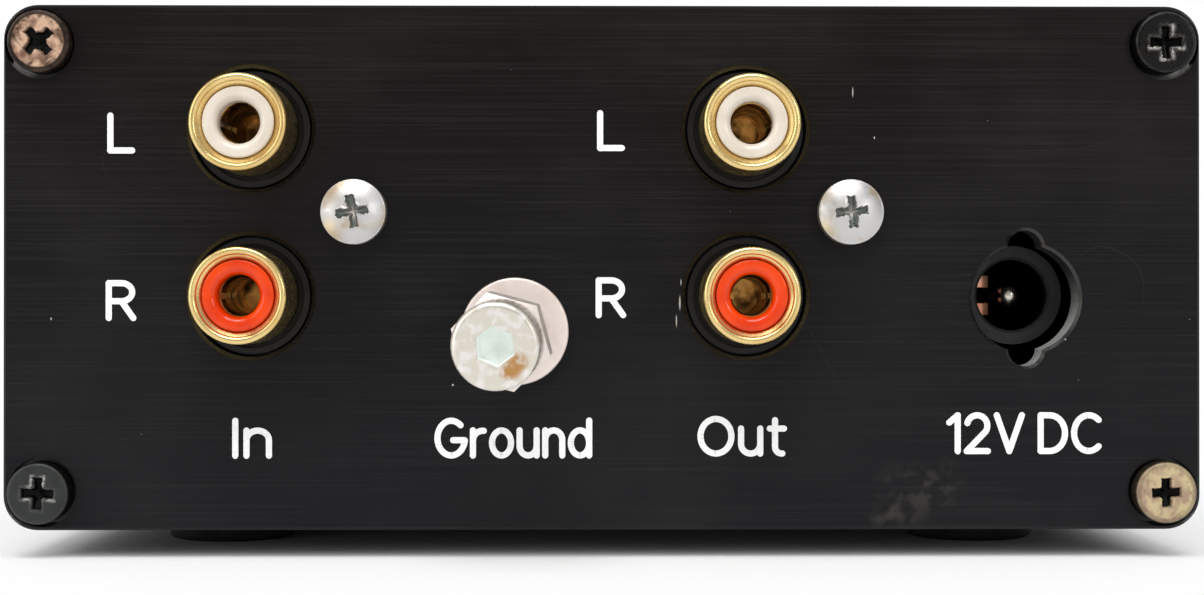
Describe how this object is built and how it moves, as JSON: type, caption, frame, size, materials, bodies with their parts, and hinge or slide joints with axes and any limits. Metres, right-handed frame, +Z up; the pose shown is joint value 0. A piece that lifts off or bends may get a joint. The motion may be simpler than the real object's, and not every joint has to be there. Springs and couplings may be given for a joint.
{
  "type": "phono preamplifier",
  "caption": "Phono preamplifier in a flat black extruded aluminium case, with paired phono sockets, a screw ground terminal and a recessed power socket on its rear plate.",
  "frame": {"origin": "on the surface the feet stand on, under the middle of the box that holds the whole object", "axes": "+X to the right as seen from the connectors, +Y from the connector plate into the case, +Z up"},
  "size_m": [0.105, 0.1386, 0.0485],
  "materials": {
    "black_anodised_sleeve": "anodised, satin",
    "black_anodised_rear": "anodised, brushed",
    "black_anodised_front": "anodised, brushed",
    "worn_screw_metal": "worn through to bare metal",
    "blackened_steel": "black oxide",
    "foot_rubber": "matt",
    "connector_housing": "moulded",
    "gold_shell": "gold plated",
    "gold_contact": "gold plated",
    "white_insulator": "moulded",
    "red_insulator": "moulded",
    "zinc_plate": "zinc plated",
    "washer_zinc": "zinc plated",
    "socket_plastic": "moulded",
    "nickel_pin": "nickel plated",
    "copper_leaf": "bronze strip",
    "tinned_brass": "tinned",
    "wire_insulation": "flexible insulation",
    "board_laminate": "solder mask",
    "chip_epoxy": "moulded",
    "socket_black": "moulded",
    "film_capacitor": "potted box",
    "coupling_capacitor": "potted box",
    "capacitor_sleeve": "heat-shrink sleeve",
    "resistor_body": "lacquered",
    "heat_sink_metal": "anodised",
    "choke_sleeve": "heat-shrink sleeve",
    "diode_epoxy": "moulded",
    "converter_case": "potted",
    "bezel_metal": "plated",
    "lamp_lens": "tinted, clear"
  },
  "bodies": {
    "root": {"sleeve": "black_anodised_sleeve", "rear_plate": "black_anodised_rear", "front_plate": "black_anodised_front", "rear_screws_worn": "worn_screw_metal", "rear_screws_black": "blackened_steel", "front_plate_screws": "blackened_steel", "rubber_feet": "foot_rubber", "rca_in_housing": "connector_housing", "rca_out_housing": "connector_housing", "rca_shell_in_l": "gold_shell", "rca_shell_in_r": "gold_shell", "rca_shell_out_l": "gold_shell", "rca_shell_out_r": "gold_shell", "rca_insulator_in_l": "white_insulator", "rca_insulator_in_r": "red_insulator", "rca_insulator_out_l": "white_insulator", "rca_insulator_out_r": "red_insulator", "rca_contact_in_l": "gold_contact", "rca_contact_in_r": "gold_contact", "rca_contact_out_l": "gold_contact", "rca_contact_out_r": "gold_contact", "rca_fixing_screws": "zinc_plate", "dc_jack_housing": "socket_plastic", "dc_centre_pin": "nickel_pin", "dc_leaf_tag": "copper_leaf", "ground_screw": "zinc_plate", "ground_washer": "washer_zinc", "ground_inner_nut": "zinc_plate", "ground_solder_lug": "tinned_brass", "ground_wire": "wire_insulation", "circuit_board": "board_laminate", "op_amps": "chip_epoxy", "op_amp_sockets": "socket_black", "filter_capacitors": "film_capacitor", "supply_capacitors": "capacitor_sleeve", "coupling_capacitors": "coupling_capacitor", "resistors": "resistor_body", "voltage_regulator": "chip_epoxy", "regulator_heat_sink": "heat_sink_metal", "supply_choke": "choke_sleeve", "reverse_diode": "diode_epoxy", "power_converter": "converter_case", "lamp_bezel": "bezel_metal", "power_lamp": "lamp_lens", "lamp_leads": "nickel_pin"},
    "clamp_washer": {"clamp_tooth_washer": "zinc_plate"},
    "clamp_nut": {"clamp_nut": "zinc_plate"},
    "dc_leaf": {"dc_leaf_contact": "copper_leaf"}
  },
  "joints": [
    {"name": "clamp_travel", "type": "slide", "parent": "root", "child": "clamp_washer", "axis": [0.0662, 0.9959, 0.061], "range_m": [0, 0.007]},
    {"name": "clamp_turn", "type": "hinge", "parent": "clamp_washer", "child": "clamp_nut", "pos_m": [-0.00775, -0.05269, 0.0199], "axis": [0.0662, 0.9959, 0.061], "range_deg": [0, 3600]},
    {"name": "leaf_flex", "type": "hinge", "parent": "root", "child": "dc_leaf", "pos_m": [0.03315, -0.03539, 0.0231], "axis": [0, 0, 1], "range_deg": [-7.5, 0], "stiffness_Nm_per_rad": 0.16}
  ],
  "couplings": [
    {"joint": "clamp_turn", "follows": "clamp_travel", "rad_per_m": 8976}
  ]
}
